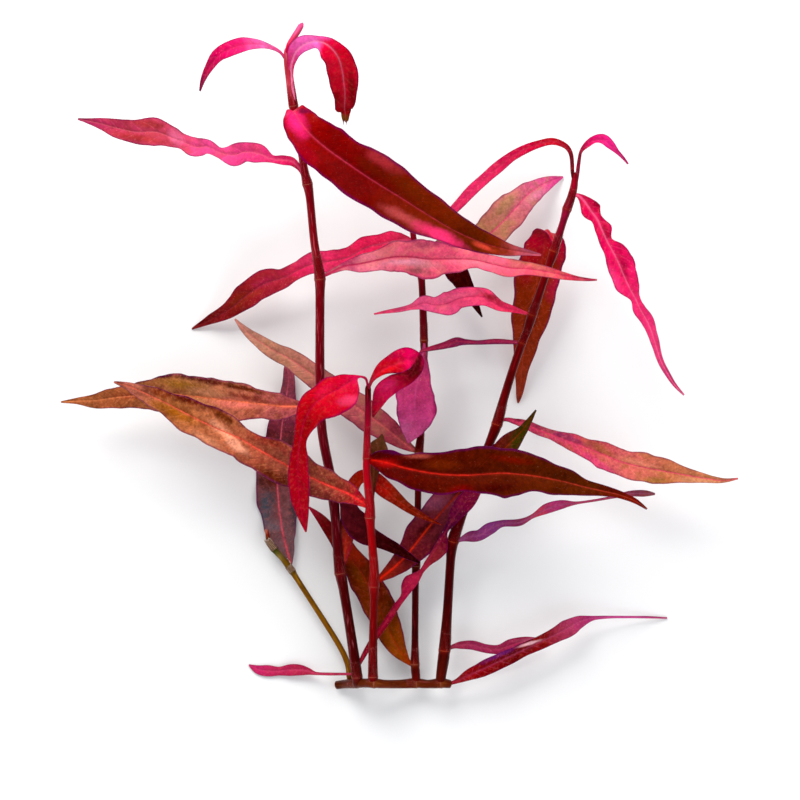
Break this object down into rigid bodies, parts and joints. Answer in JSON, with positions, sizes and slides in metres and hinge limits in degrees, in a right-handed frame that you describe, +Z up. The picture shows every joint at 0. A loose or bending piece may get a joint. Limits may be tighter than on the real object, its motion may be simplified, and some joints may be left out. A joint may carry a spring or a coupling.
{
  "type": "stem plant",
  "caption": "Leafy clump of a red and pink aquarium stem plant, with long narrow leaves on swollen-jointed stems, lying on its back as picked.",
  "frame": {"origin": "centre of the bounding box, on the surface that the plant lies on", "axes": "+Z up, away from the surface; +Y from the stems' feet to their tips; +X to the right as seen from above with the tips away"},
  "size_m": [0.2269, 0.223, 0.0778],
  "materials": {
    "crimson_stem": "gloss",
    "dark_stem": "gloss",
    "brown_stem": "satin",
    "bright_pink_leaf": "satin",
    "pink_leaf": "satin",
    "red_leaf": "satin",
    "purple_leaf": "satin",
    "dark_leaf": "satin",
    "tan_leaf": "satin"
  },
  "bodies": {
    "root": {"tall_stem": "crimson_stem", "front_stem": "crimson_stem", "middle_stem": "dark_stem", "right_stem": "dark_stem", "rootstock": "brown_stem", "broken_stem": "brown_stem", "tall_bud": "bright_pink_leaf", "tall_top_leaf_left": "bright_pink_leaf", "right_top_leaf_left": "bright_pink_leaf", "right_top_leaf_right": "bright_pink_leaf", "right_hanging_leaf": "bright_pink_leaf", "middle_top_leaf_left": "bright_pink_leaf", "tall_left_leaf": "pink_leaf", "tall_long_leaf": "pink_leaf", "tall_ribbon_leaf": "pink_leaf", "tall_foot_leaf": "pink_leaf", "middle_top_leaf_right": "pink_leaf", "right_upper_leaf": "pink_leaf", "right_long_leaf": "pink_leaf", "right_foot_leaf": "pink_leaf", "rootstock_leaf": "pink_leaf", "tall_top_leaf_right": "red_leaf", "tall_front_leaf": "red_leaf", "front_top_leaf_left": "red_leaf", "front_top_leaf_right": "red_leaf", "right_back_leaf": "red_leaf", "tall_arched_leaf": "red_leaf", "middle_hanging_leaf": "purple_leaf", "right_thin_leaf": "purple_leaf", "right_wavy_leaf": "purple_leaf", "tall_dark_leaf": "dark_leaf", "front_dark_leaf": "dark_leaf", "front_low_leaf": "dark_leaf", "middle_dark_leaf": "dark_leaf", "tall_low_leaf": "tan_leaf", "front_left_leaf": "tan_leaf", "front_small_leaf": "tan_leaf", "middle_tan_leaf": "tan_leaf", "middle_foot_leaf": "tan_leaf", "broken_stem_leaf": "tan_leaf"}
  },
  "joints": []
}
